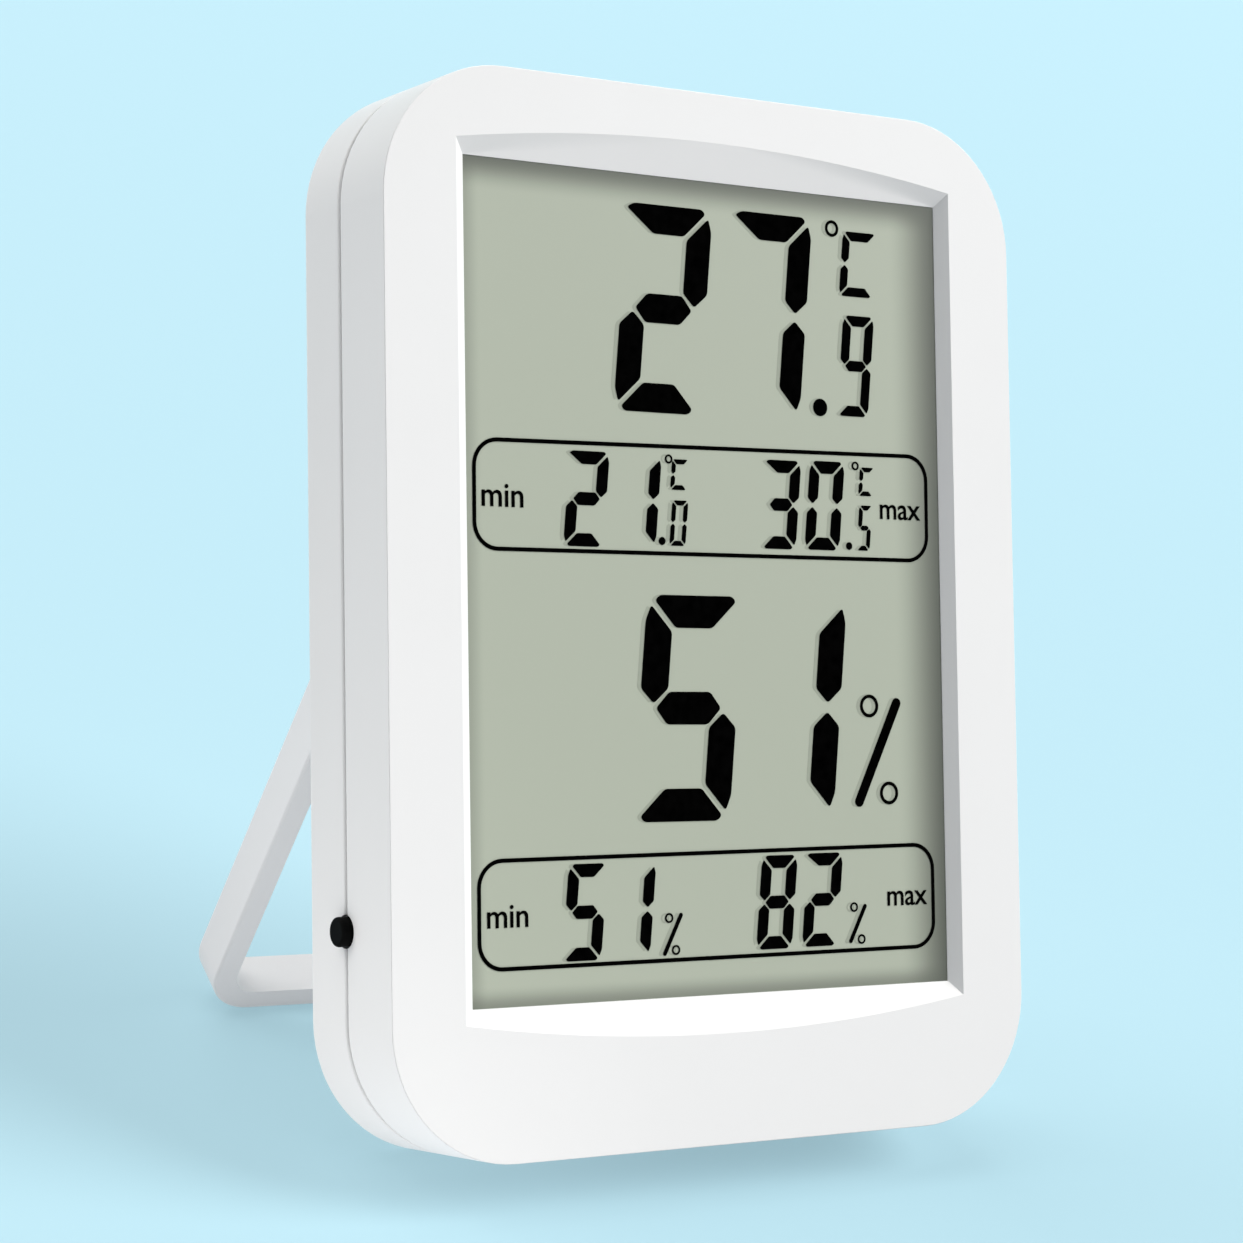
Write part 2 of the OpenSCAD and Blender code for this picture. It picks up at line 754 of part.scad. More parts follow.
// Stand folded flat behind the rear face
module bail_folded() {
  y0 = case_d + bail_gap;
  intersection() {
    difference() {
      rounded_slab(2 * bail_outer_x, bail_inset, bail_top_z, bail_r, y0, y0 + strip_w, foot_r, foot_r);
      panel(y0 - past, y0 + strip_w + past)
        bail_inside();
    }
    union() {
      block([-case_w, 0, 0], [case_w, y0 + strip_w + past, hinge_z]);
      rod_x(-case_w, case_w, 2 * heel_r, hinge_y, hinge_z);
    }
  }
  both_sides()
    rod_x(bail_inner_x - pin_l, bail_inner_x + strip_t / 2, pin_d, hinge_y, hinge_z);
}

// Space between the stand's legs
module bail_inside() {
  r = bail_r - strip_t;
  for (x = [-bail_inner_x + r, bail_inner_x - r])
    translate([x, bail_inset + strip_t + r])
      circle(r = r);
  translate([-bail_inner_x + r, bail_inset + strip_t])
    square([2 * (bail_inner_x - r), bail_top_z]);
  translate([-bail_inner_x, bail_inset + strip_t + r])
    square([2 * bail_inner_x, bail_top_z]);
}

// Stand swung open until the flat of its heel meets the rear face;
// below the flat the heel is round, so that it turns clear of the face
module bail_stand() color(shell_white) placed() difference() {
  translate([0, hinge_y, hinge_z])
    rotate([open_angle, 0, 0])
      translate([0, -hinge_y, -hinge_z])
        bail_folded();
  block([-case_w, -case_d, hinge_z - heel_r], [case_w, hinge_y - stop_r, hinge_z + 2 * heel_r]);
  difference() {
    block(
      [-case_w, hinge_y - heel_r, hinge_z - strip_w / 2],
      [case_w, hinge_y - strip_w / 2, hinge_z]
    );
    rod_x(-2 * case_w, 2 * case_w, 2 * stop_r, hinge_y, hinge_z);
  }
}

// Button with a round cap, a flange behind the wall and a stem to the switch
module side_button() color(button_black) placed() {
  translate([-case_w / 2 - cap_proud, parting_y, button_z])
    rotate([0, 90, 0])
      rotate_extrude()
        edge_profile(cap_d / 2, 0, case_w / 2 + cap_proud - flange_x + flange_t, cap_edge_r, knit / 2);
  rod_x(-flange_x, -flange_x + flange_t, flange_d, parting_y, button_z);
  rod_x(-flange_x, -plunger_x, stem_d, parting_y, button_z);
}

// Plunger of the switch, pushed by the button's stem
module switch_plunger() color(button_black) placed() {
  rod_x(-plunger_x, -switch_x + plunger_depth, plunger_d, parting_y, button_z);
}

// Side-acting switch soldered to the board
module tact_switch() color(steel) placed() difference() {
  block(
    [-switch_x, board_back_y, button_z - switch_w / 2],
    [-switch_end_x, switch_back_y, button_z + switch_w / 2]
  );
  rod_x(
    -switch_x - past, -switch_x + plunger_depth + button_travel + seat_gap,
    plunger_d + 2 * plunger_gap, parting_y, button_z
  );
}

// Board with shoulders, a tongue up to the connector and an arm down to the switch
module circuit_board() color(board_green) placed() difference() {
  panel(board_y, board_back_y) {
    translate([-board_x, board_z0])
      square([2 * board_x, board_z1 - board_z0]);
    translate([-board_tongue_x, board_z0])
      square([2 * board_tongue_x, board_tongue_z - board_z0]);
    translate([-board_x, arm_z])
      square([board_x - arm_end_x, board_z1 - arm_z]);
  }
  for (x = [-board_screw_x, board_screw_x], z = board_screw_zs)
    rod_y(board_y - past, board_back_y + past, board_screw_d + 2 * screw_gap, x, z);
}

// Drop of black resin over the controller
module controller_blob() color(button_black) placed() {
  r = (blob_d * blob_d / 4 + blob_h * blob_h) / (2 * blob_h);
  translate([blob_x, board_back_y, blob_z])
    rotate([-90, 0, 0])
      intersection() {
        translate([0, 0, blob_h - r])
          sphere(r = r);
        cylinder(h = blob_h + past, d = blob_d + past);
      }
}

// Watch crystal lying on the board, with its two wires
module crystal_can() color(steel) placed() {
  y = board_back_y + crystal_d / 2;
  wire_z = crystal_z + crystal_wire_l;
  rod_z(crystal_z - crystal_l, crystal_z, crystal_d, blob_x, y);
  for (side = [-0.5, 0.5]) {
    wire_x = blob_x + side * crystal_wire_pitch;
    rod_z(crystal_z - knit, wire_z, crystal_wire_d, wire_x, y);
    rod_y(board_back_y, y + crystal_wire_d / 2, crystal_wire_d, wire_x, wire_z);
  }
}

// Chip capacitors and resistors in two rows
module chip_parts() color([0.55, 0.45, 0.32]) placed() {
  for (row = [-chip_row, chip_row], i = [0 : chip_count - 1])
    translate([chip_x + i * chip_pitch, board_back_y, sensor_z + row])
      cube(chip_size);
}

// Temperature and humidity sensor with its round air port
module climate_sensor() color([0.16, 0.16, 0.17]) placed() difference() {
  translate([-sensor_size[0] / 2, board_back_y, sensor_z - sensor_size[2] / 2])
    cube(sensor_size);
  rod_y(board_back_y + sensor_size[1] / 2, board_back_y + 2 * sensor_size[1], port_d, 0, sensor_z);
}

// Front film of the display
module lcd_polariser() color(glass_grey) placed() {
  panel(film_y, film_y + film_t)
    view_outline(film_margin);
}

// Front glass, with a bare ledge of contacts along the top
module lcd_front_glass() color(glass_grey) placed() {
  panel(front_glass_y, front_glass_y + glass_t)
    glass_outline(0);
}

// Rear glass, short of the contact ledge
module lcd_rear_glass() color(glass_grey) placed() {
  panel(rear_glass_y, rear_glass_y + glass_t)
    translate([-glass_x, glass_z0])
      square([2 * glass_x, glass_z1 - ledge_w - glass_z0]);
}

// Silvery film behind the display, as tall as the rear glass lets it be
module lcd_reflector() color([0.80, 0.81, 0.78]) placed() {
  panel(reflector_y, reflector_y + film_t)
    translate([-view_x - film_margin, view_z0 - film_margin])
      square([2 * (view_x + film_margin), glass_z1 - ledge_w - view_z0 + film_margin]);
}

// Frame that clamps the display, open in the middle and along the connector
module lcd_frame() color(inner_white) placed() difference() {
  panel(front_wall + seat_gap, frame_y + frame_t)
    glass_outline(seat_gap + frame_lip);
  panel(front_wall, frame_y)
    glass_outline(seat_gap);
  panel(frame_y - past, frame_y + frame_t + past)
    view_outline(-frame_ledge);
  panel(frame_y - past, frame_y + frame_t + past)
    translate([-zebra_l / 2 - seat_gap, zebra_z - zebra_w / 2 - seat_gap])
      square([zebra_l + 2 * seat_gap, zebra_w + 2 * seat_gap]);
  for (p = screw_places)
    rod_y(front_wall, frame_y + frame_t + past, boss_d + 2 * seat_gap, p[0], p[1]);
  for (x = [-board_screw_x, board_screw_x], z = board_screw_zs)
    rod_y(front_wall, frame_y + frame_t + past, board_boss_d + 2 * seat_gap, x, z);
}

// Striped rubber connector between the glass ledge and the board
module zebra_strip() color([0.45, 0.45, 0.47]) placed() {
  panel(rear_glass_y, board_y)
    translate([-zebra_l / 2, zebra_z - zebra_w / 2])
      square([zebra_l, zebra_w]);
}

// AAA cell with its positive nub
module battery_cell() color([0.20, 0.45, 0.62]) placed() {
  translate([cell_foot_x, cell_y, cell_z])
    rotate([0, 90, 0]) {
      rotate_extrude()
        edge_profile(cell_d / 2, 0, cell_l - nub_l, cell_edge_r, cell_edge_r);
      cylinder(h = cell_l, d = nub_d);
    }
}

// Conical spring: points along its wire, from the plate to the cell
function spring_r(t) = spring_base_r + (spring_tip_r - spring_base_r) * t;
function spring_out(t) = [0, cos(360 * spring_turns * t), sin(360 * spring_turns * t)];
function spring_at(t) =
  let (first = -bay_x + contact_t + spring_wire_d / 2 + spring_seat)
  let (run = spring_l - spring_wire_d - 2 * spring_seat)
  [first + run * t, cell_y, cell_z] + spring_r(t) * spring_out(t);
function spring_ring(t) = [
  for (k = [0 : spring_sides - 1])
    let (a = 360 * k / spring_sides)
    spring_at(t) + spring_wire_d / 2 * (cos(a) * spring_out(t) + [sin(a), 0, 0])
];

// Least gap between the turns, measured on the points along the wire
spring_gap = min([
  for (i = [0 : spring_steps], j = [i + spring_rings - 2 : 1 : spring_steps])
    norm(spring_at(i / spring_steps) - spring_at(j / spring_steps)) - spring_wire_d
]);
echo(str("Least gap between the turns of the battery spring: ", spring_gap, " mm"));

module battery_spring() color(steel) placed() {
  points = [for (i = [0 : spring_steps]) each spring_ring(i / spring_steps)];
  last = spring_steps * spring_sides;
  sides = [
    for (i = [0 : spring_steps - 1], k = [0 : spring_sides - 1])
      let (a = i * spring_sides + k, b = i * spring_sides + (k + 1) % spring_sides)
      each [[a, b, a + spring_sides], [b, b + spring_sides, a + spring_sides]]
  ];
  start = [for (k = [1 : spring_sides - 2]) [0, k + 1, k]];
  end = [for (k = [1 : spring_sides - 2]) [last, last + k, last + k + 1]];
  polyhedron(points = points, faces = concat(sides, start, end));
}

// Contact plate at the right end of the bay, with its tab through the wall
module contact_plate() {
  block(
    [bay_x - contact_t, cell_y - contact_size / 2, cell_z - contact_size / 2],
    [bay_x, cell_y + contact_size / 2, cell_z + contact_size / 2]
  );
  block(
    [bay_x - contact_t / 2, tab_y, cell_z - tab_w / 2],
    [bay_x + tab_l, tab_y + contact_t, cell_z + tab_w / 2]
  );
}

// Plate that carries the spring
module negative_contact() color(steel) placed() {
  mirror([1, 0, 0])
    contact_plate();
}

// Plate with a dimple that meets the cell's nub
module positive_contact() color(steel) placed() {
  contact_plate();
  rod_x(bay_x - contact_t - dimple_h, bay_x - contact_t / 2, nub_d - 2 * dimple_in, cell_y, cell_z);
}

// Lead from a contact tab up to the board, with a bend onto its pad
module lead(x) {
  rod_z(cell_z, lead_end_z - lead_bend, lead_d, x, lead_y);
  translate([x, lead_y - lead_bend, lead_end_z - lead_bend])
    rotate([0, -90, 0])
      rotate_extrude(angle = 90)
        translate([lead_bend, 0])
          circle(d = lead_d);
  rod_y(board_back_y, lead_y - lead_bend, lead_d, x, lead_end_z);
}

module lead_black() color(button_black) placed() {
  lead(-lead_x);
}

module lead_red() color([0.75, 0.10, 0.08]) placed() {
  lead(lead_x);
}

// Screw with a pan head, along Y, with its seat at depth y
module screw(x, z, y, tip_y, d, head_d, head_h) {
  rod_y(tip_y, y + knit, d, x, z);
  difference() {
    rod_y(y, y + head_h, head_d, x, z);
    for (turn = [0, 90])
      translate([x, y + head_h, z])
        rotate([0, turn, 0])
          cube([drive_l, 2 * drive_depth, drive_w], center = true);
  }
}

// Screws that hold the two halves of the case together
module case_screws() color(steel) placed() {
  for (p = screw_places)
    screw(p[0], p[1], screw_seat_y, screw_tip_y, screw_d, screw_head_d, screw_head_h);
}

// Screws that hold the board and the display frame to the front
module board_screws() color(steel) placed() {
  for (x = [-board_screw_x, board_screw_x], z = board_screw_zs)
    screw(x, z, board_back_y, front_wall + knit, board_screw_d, board_screw_head_d, board_screw_head_h);
}

front_bezel();
rear_cover();
battery_door();
bail_stand();
side_button();
switch_plunger();
tact_switch();
circuit_board();
controller_blob();
crystal_can();
chip_parts();
climate_sensor();
lcd_polariser();
lcd_front_glass();
lcd_rear_glass();
lcd_reflector();
lcd_frame();
zebra_strip();
battery_cell();
battery_spring();
negative_contact();
positive_contact();
lead_black();
lead_red();
case_screws();
board_screws();
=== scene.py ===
from math import cos, hypot, pi, radians, sin

import bmesh
import bpy
from mathutils import Matrix, Vector


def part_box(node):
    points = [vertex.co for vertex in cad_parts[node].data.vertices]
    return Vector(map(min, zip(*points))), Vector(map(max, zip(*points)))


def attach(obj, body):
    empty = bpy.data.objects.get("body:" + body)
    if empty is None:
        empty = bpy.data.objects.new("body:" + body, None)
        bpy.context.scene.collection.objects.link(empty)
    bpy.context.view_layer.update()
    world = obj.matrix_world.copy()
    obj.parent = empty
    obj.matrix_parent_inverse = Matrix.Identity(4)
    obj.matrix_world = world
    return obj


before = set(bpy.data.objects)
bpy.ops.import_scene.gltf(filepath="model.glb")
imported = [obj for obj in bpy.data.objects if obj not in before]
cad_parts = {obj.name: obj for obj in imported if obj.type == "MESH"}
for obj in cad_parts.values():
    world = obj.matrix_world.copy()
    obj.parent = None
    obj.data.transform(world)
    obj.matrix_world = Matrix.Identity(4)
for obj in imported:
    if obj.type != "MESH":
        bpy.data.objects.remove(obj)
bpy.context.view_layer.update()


# Front bezel, rear cover and battery door: three white mouldings in one satin plastic.
# The bezel screws on to the cover from behind, and the door presses into the back.
# A fine spark-eroded grain dulls the faces, and the tone drifts a little over each moulding.

def tune(material, socket, value):
    material.node_tree.nodes["Principled BSDF"].inputs[socket].default_value = value


def plain_finish(name, colour, roughness, metallic=0.0):
    material = bpy.data.materials.new(name)
    material.use_nodes = True
    tune(material, "Base Color", (*colour, 1.0))
    tune(material, "Roughness", roughness)
    tune(material, "Metallic", metallic)
    material.diffuse_color = (*colour, 1.0)
    return material


def add_node(material, kind, **settings):
    node = material.node_tree.nodes.new(kind)
    for key, value in settings.items():
        if key in node.inputs:
            node.inputs[key].default_value = value
        else:
            setattr(node, key, value)
    return node


def wire(material, source, target, socket, output=0):
    material.node_tree.links.new(source.outputs[output], target.inputs[socket])


def feed(material, source, socket, output=0):
    wire(material, source, material.node_tree.nodes["Principled BSDF"], socket, output)


def place_on(material, stretch=(1, 1, 1), turn=(0, 0, 0)):
    spot = add_node(material, "ShaderNodeTexCoord")
    mapped = add_node(material, "ShaderNodeMapping", Scale=stretch, Rotation=turn)
    wire(material, spot, mapped, "Vector", "Object")
    return mapped


def add_span(material, start, end, low, high, kind="LINEAR"):
    span = add_node(material, "ShaderNodeMapRange", interpolation_type=kind)
    for socket, value in (("From Min", start), ("From Max", end), ("To Min", low), ("To Max", high)):
        span.inputs[socket].default_value = value
    return span


def add_grain(material, scale, depth, strength, stretch=(1, 1, 1)):
    spot = place_on(material, stretch)
    noise = add_node(material, "ShaderNodeTexNoise", Scale=scale, Detail=4.0)
    bump = add_node(material, "ShaderNodeBump", Strength=strength, Distance=depth)
    wire(material, spot, noise, "Vector")
    wire(material, noise, bump, "Height")
    feed(material, bump, "Normal")
    return noise


def add_sheen_drift(material, noise, low, high):
    span = add_span(material, 0.3, 0.7, low, high)
    wire(material, noise, span, "Value")
    feed(material, span, "Roughness")


def add_tone_drift(material, scale, dark, light, stretch=(1, 1, 1)):
    spot = place_on(material, stretch)
    noise = add_node(material, "ShaderNodeTexNoise", Scale=scale, Detail=3.0)
    ramp = add_node(material, "ShaderNodeValToRGB")
    ramp.color_ramp.elements[0].position = 0.35
    ramp.color_ramp.elements[0].color = (*dark, 1.0)
    ramp.color_ramp.elements[1].position = 0.65
    ramp.color_ramp.elements[1].color = (*light, 1.0)
    wire(material, spot, noise, "Vector")
    wire(material, noise, ramp, "Fac")
    feed(material, ramp, "Base Color")


def dress(material, *nodes):
    for node in nodes:
        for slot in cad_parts[node].material_slots:
            slot.material = material


shell_white = plain_finish("shell_white", (0.835, 0.835, 0.832), 0.5)
tune(shell_white, "Specular IOR Level", 0.35)
add_tone_drift(shell_white, 45.0, (0.829, 0.829, 0.826), (0.841, 0.841, 0.838))
add_sheen_drift(shell_white, add_grain(shell_white, 3200.0, 0.00003, 0.06), 0.46, 0.54)
dress(shell_white, "front_bezel", "rear_cover", "battery_door")


# Stand: a white bail bent round in one moulding, with a pin on each leg.
# The pins snap into the two lugs of the rear cover, and the heels stop it when it is open.
# It is moulded in a second tool, with the same grain and a slightly cooler white.

stand_white = plain_finish("stand_white", (0.85, 0.852, 0.858), 0.48)
add_tone_drift(stand_white, 60.0, (0.843, 0.845, 0.852), (0.857, 0.859, 0.863))
add_sheen_drift(stand_white, add_grain(stand_white, 3200.0, 0.00003, 0.06), 0.44, 0.52)
dress(stand_white, "bail_stand")


# Button: a black moulded cap with a flange that keeps it in the case wall.
# It pushes the plunger of a small switch whose body is pressed steel.

button_black = plain_finish("button_black", (0.004, 0.004, 0.004), 0.42)
tune(button_black, "Specular IOR Level", 0.008)
add_tone_drift(button_black, 400.0, (0.003, 0.003, 0.003), (0.006, 0.006, 0.006))
add_sheen_drift(button_black, add_grain(button_black, 5000.0, 0.00002, 0.08), 0.38, 0.48)
dress(button_black, "side_button", "switch_plunger")

switch_steel = plain_finish("switch_steel", (0.62, 0.63, 0.65), 0.32, metallic=1.0)
add_tone_drift(switch_steel, 500.0, (0.58, 0.59, 0.61), (0.66, 0.67, 0.69), stretch=(1, 12, 1))
add_sheen_drift(switch_steel, add_grain(switch_steel, 2500.0, 0.00001, 0.1, stretch=(1, 12, 1)), 0.26, 0.4)
dress(switch_steel, "tact_switch")


# Display film: a grey-green polariser with an anti-glare face, stuck on the front glass.
# The reflector lies 2 mm behind it. The shade that the rim of the window casts on the border is painted
# into the film's colour, darkest at the right and the top, where the rim stands between it and the lamp.

millimetre = 0.001
case_lean = radians(22.457883195)
case_shift = Vector((0.0, -28.727822172, 6.187906720)) * millimetre
case_place = Matrix.Translation(case_shift) @ Matrix.Rotation(-case_lean, 4, "X")

film_green = (0.442, 0.481, 0.395)
film_painted_shade = (0.128, 0.137, 0.115)
view_left, view_right, view_low, view_high = -30.3, 30.3, 15.4, 100.8

display_film = plain_finish("display_film", film_green, 0.34)
tune(display_film, "Specular IOR Level", 0.12)
film_spot = add_node(display_film, "ShaderNodeTexCoord")
film_flat = add_node(display_film, "ShaderNodeMapping", vector_type="TEXTURE",
                     Location=case_shift, Rotation=(-case_lean, 0.0, 0.0))
wire(display_film, film_spot, film_flat, "Vector", "Object")
film_axes = add_node(display_film, "ShaderNodeSeparateXYZ")
wire(display_film, film_flat, film_axes, "Vector")
# Painted shade: the film's colour darkens towards each rim of the window, and the four fades multiply.
film_painted_light = None
for axis, rim, reach, least in (("X", view_right, -6.6, 0.02), ("Z", view_high, -3.5, 0.06),
                                ("X", view_left, 2.0, 0.62), ("Z", view_low, 2.2, 0.36)):
    painted_shade_fade = add_span(display_film, rim * millimetre, (rim + reach) * millimetre, least, 1.0, "SMOOTHSTEP")
    wire(display_film, film_axes, painted_shade_fade, "Value", axis)
    if film_painted_light is None:
        film_painted_light = painted_shade_fade
    else:
        both = add_node(display_film, "ShaderNodeMath", operation="MULTIPLY")
        wire(display_film, film_painted_light, both, 0)
        wire(display_film, painted_shade_fade, both, 1)
        film_painted_light = both
film_shaded_tone = add_node(display_film, "ShaderNodeValToRGB")
film_shaded_tone.color_ramp.elements[0].color = (*film_painted_shade, 1.0)
film_shaded_tone.color_ramp.elements[1].color = (*film_green, 1.0)
wire(display_film, film_painted_light, film_shaded_tone, "Fac")
feed(display_film, film_shaded_tone, "Base Color")
add_sheen_drift(display_film, add_grain(display_film, 5000.0, 0.00001, 0.05), 0.3, 0.4)
dress(display_film, "lcd_polariser")


# Signs of the display: electrodes etched on the glass, which turn black under voltage.
# They stand on the film as plates three hundredths of a millimetre thick, seven bars to a figure. The
# shade each one would throw on the reflector is painted: a thinner, darker copy of every sign lies on the
# film a little to its left.

film_front = 1.1
sign_gap = 0.02
sign_lift = 0.03
sign_slant = 0.1
# Thickness and left shift of the painted shadows of the signs.
painted_shadow_lift = 0.012
painted_shadow_shift = -0.5


def open_plate(name):
    bpy.ops.object.select_all(action="DESELECT")
    bpy.ops.mesh.primitive_plane_add(size=millimetre)
    piece = bpy.context.object
    piece.name = name
    piece.data.name = name
    bpy.ops.object.mode_set(mode="EDIT")
    bpy.ops.mesh.select_all(action="SELECT")
    bpy.ops.mesh.delete(type="VERT")
    return piece


def lay_outline(piece, points, rounding=0.0, steps=3):
    bpy.ops.mesh.select_all(action="DESELECT")
    bpy.ops.mesh.primitive_circle_add(vertices=len(points), radius=millimetre, fill_type="NGON")
    work = bmesh.from_edit_mesh(piece.data)
    sheet = next(face for face in work.faces if face.select)
    for corner, (x, z) in zip(sheet.verts, points):
        corner.co = Vector((x, film_front, z)) * millimetre
    work.normal_update()
    bmesh.update_edit_mesh(piece.data)
    if rounding:
        bpy.ops.mesh.bevel(offset=rounding * millimetre, segments=steps, affect="VERTICES")


def lay_ring(piece, points, line, rounding=0.0, steps=3):
    lay_outline(piece, points, rounding, steps)
    bpy.ops.mesh.inset(thickness=line * millimetre)
    bpy.ops.mesh.delete(type="FACE")


def round_points(x, z, radius, count=28):
    return [(x + radius * cos(2 * pi * k / count), z + radius * sin(2 * pi * k / count))
            for k in range(count)]


def close_plate(piece, thickness, lift=0.0):
    bpy.ops.mesh.select_all(action="SELECT")
    bpy.ops.mesh.normals_make_consistent(inside=False)
    bpy.ops.mesh.extrude_region_move(
        TRANSFORM_OT_translate={"value": (0.0, -thickness * millimetre, 0.0)})
    bpy.ops.mesh.select_all(action="SELECT")
    bpy.ops.mesh.normals_make_consistent(inside=False)
    bpy.ops.transform.translate(value=(0.0, -lift * millimetre, 0.0))
    bpy.ops.object.mode_set(mode="OBJECT")
    piece.matrix_world = case_place
    bpy.ops.object.transform_apply(location=True, rotation=True, scale=True)


def figure_bars(width, height, bar, gap):
    cut = 0.33 * bar
    mitre = 1.414
    along = gap / 2 * mitre
    end = 0.6 * bar
    bend = 1.05 * bar
    middle = height / 2
    shoulder = middle + 0.6 * bar
    tip = middle + 0.14 * bar
    top = [(along + cut, height), (width - along - cut, height),
           (width - along - 0.5 * cut, height - 0.5 * cut), (width - bar - along, height - bar),
           (bar + along, height - bar), (along + 0.5 * cut, height - 0.5 * cut)]
    upper_right = [(width - 0.5 * cut, height - along - 0.55 * cut), (width, height - along - 2.0 * cut),
                   (width, shoulder), (width - 0.5 * bar, tip), (width - bar, shoulder),
                   (width - bar, height - bar - along)]
    centre = [(end, middle), (bend, middle + bar / 2), (width - bend, middle + bar / 2),
              (width - end, middle), (width - bend, middle - bar / 2), (bend, middle - bar / 2)]

    def over(points):
        return [(x, height - z) for x, z in points]

    def across(points):
        return [(width - x, z) for x, z in points]

    return {"a": top, "b": upper_right, "c": over(upper_right), "d": over(top),
            "e": over(across(upper_right)), "f": across(upper_right), "g": centre}


bars_lit = {"0": "abcdef", "1": "bc", "2": "abged", "3": "abgcd", "5": "afgcd", "7": "abc",
            "8": "abcdefg", "9": "abcdfg", "C": "afed"}

figures = (
    ("2", -12.55, 75.96, 10.75, 21.8, 3.05), ("7", 1.25, 76.2, 10.1, 21.9, 2.9),
    ("C", 17.0, 90.0, 4.6, 7.1, 1.0), ("9", 16.45, 76.9, 4.2, 11.0, 1.15),
    ("2", -18.9, 61.75, 4.85, 9.8, 1.35), ("1", -12.3, 61.95, 4.75, 9.5, 1.35),
    ("C", -5.6, 68.0, 2.1, 3.2, 0.5), ("0", -5.8, 62.15, 2.0, 4.75, 0.52),
    ("3", 5.95, 62.2, 4.6, 9.5, 1.35), ("0", 11.75, 62.25, 4.65, 9.6, 1.35),
    ("C", 19.15, 68.3, 1.95, 3.1, 0.5), ("5", 18.8, 62.35, 1.75, 4.9, 0.52),
    ("5", -11.0, 33.5, 12.3, 23.5, 3.4), ("1", 3.0, 33.6, 12.0, 23.5, 3.4),
    ("5", -19.7, 19.65, 4.7, 9.8, 1.35), ("1", -13.7, 19.8, 4.7, 9.6, 1.35),
    ("8", 4.5, 19.85, 4.65, 9.85, 1.35), ("2", 10.5, 19.9, 4.7, 9.9, 1.35))
dots = ((14.17, 77.65, 0.95), (-6.71, 62.6, 0.42), (17.77, 62.79, 0.42))
rings = ((16.16, 97.24, 0.9, 0.32), (-5.74, 71.19, 0.48, 0.2), (18.79, 71.52, 0.48, 0.2),
         (20.11, 45.5, 1.24, 0.36), (22.64, 36.06, 1.24, 0.36),
         (-6.54, 23.59, 0.52, 0.2), (-5.73, 20.27, 0.52, 0.2),
         (17.57, 23.89, 0.52, 0.2), (18.52, 20.43, 0.52, 0.2))
strokes = ((24.1, 46.3, 18.3, 34.7, 1.15), (-4.95, 24.05, -7.24, 19.75, 0.46),
           (19.15, 24.16, 16.94, 20.07, 0.46))


def lay_signs(piece, shift):
    for sign, x, z, width, height, bar in figures:
        gap = 0.16 * bar + 0.08
        bars = figure_bars(width, height, bar, gap)
        if "f" not in bars_lit[sign]:
            bars["a"][0] = (0.25 * bar, height)
            bars["a"][5] = (-0.03 * bar, height - 0.15 * bar)
        for key in bars_lit[sign]:
            points = [(x + shift + px + sign_slant * pz, z + pz) for px, pz in bars[key]]
            lay_outline(piece, points, rounding=0.1 * bar)
    for x, z, radius in dots:
        lay_outline(piece, round_points(x + shift, z, radius))
    for x, z, radius, line in rings:
        lay_ring(piece, round_points(x + shift, z, radius), line)
    for x1, z1, x2, z2, width in strokes:
        run = hypot(x2 - x1, z2 - z1)
        dx = (z2 - z1) / run * width / 2
        dz = -(x2 - x1) / run * width / 2
        lay_outline(piece, [(x1 + shift + dx, z1 + dz), (x2 + shift + dx, z2 + dz),
                            (x2 + shift - dx, z2 - dz), (x1 + shift - dx, z1 - dz)],
                    rounding=0.45 * width)


sign_black = plain_finish("sign_black", (0.001, 0.001, 0.001), 0.5)
tune(sign_black, "Specular IOR Level", 0.0)
add_tone_drift(sign_black, 900.0, (0.0005, 0.0005, 0.0005), (0.0015, 0.0015, 0.0015))
add_sheen_drift(sign_black, add_grain(sign_black, 5000.0, 0.00001, 0.05), 0.36, 0.46)

display_signs = open_plate("display_signs")
lay_signs(display_signs, 0.0)
close_plate(display_signs, sign_lift, lift=sign_gap)
display_signs.data.materials.append(sign_black)
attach(display_signs, "case")

# Painted shadow: a darker green finish for the copies of the signs that lie to their left.
sign_painted_shadow = plain_finish("sign_painted_shadow", (0.342, 0.374, 0.305), 0.4)
tune(sign_painted_shadow, "Specular IOR Level", 0.12)
add_tone_drift(sign_painted_shadow, 900.0, (0.336, 0.367, 0.299), (0.348, 0.381, 0.311))
add_sheen_drift(sign_painted_shadow, add_grain(sign_painted_shadow, 5000.0, 0.00001, 0.05), 0.36, 0.46)

display_painted_shadows = open_plate("display_painted_shadows")
lay_signs(display_painted_shadows, painted_shadow_shift)
close_plate(display_painted_shadows, painted_shadow_lift)
display_painted_shadows.data.materials.append(sign_painted_shadow)
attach(display_painted_shadows, "case")


# Frames and words of the display: a thin rounded line round each row of lowest and highest
# readings, with a plain word beside each reading, all etched and driven like the figures.

frames = (((-29.6, 61.0), (28.75, 61.25), (28.8, 73.15), (-29.55, 72.4)),
          ((-29.6, 19.0), (28.7, 19.1), (28.7, 30.6), (-29.55, 30.2)))
frame_line = 0.42
frame_corner = 2.9
frame_steps = 10

display_frames = open_plate("display_frames")
for corners in frames:
    lay_ring(display_frames, corners, frame_line, rounding=frame_corner, steps=frame_steps)
close_plate(display_frames, sign_lift, lift=sign_gap)
display_frames.data.materials.append(sign_black)
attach(display_frames, "case")

words = (("min", -28.5, 65.5, 4.9), ("max", 22.1, 65.9, 5.6),
         ("min", -28.45, 23.35, 4.8), ("max", 22.15, 23.9, 5.5))
word_weight = 0.008
word_depth = 0.01
word_weld = 0.0001
stand_up = Matrix.Rotation(radians(90.0), 4, "X")
in_metres = Matrix.Diagonal((millimetre, millimetre, millimetre, 1.0))

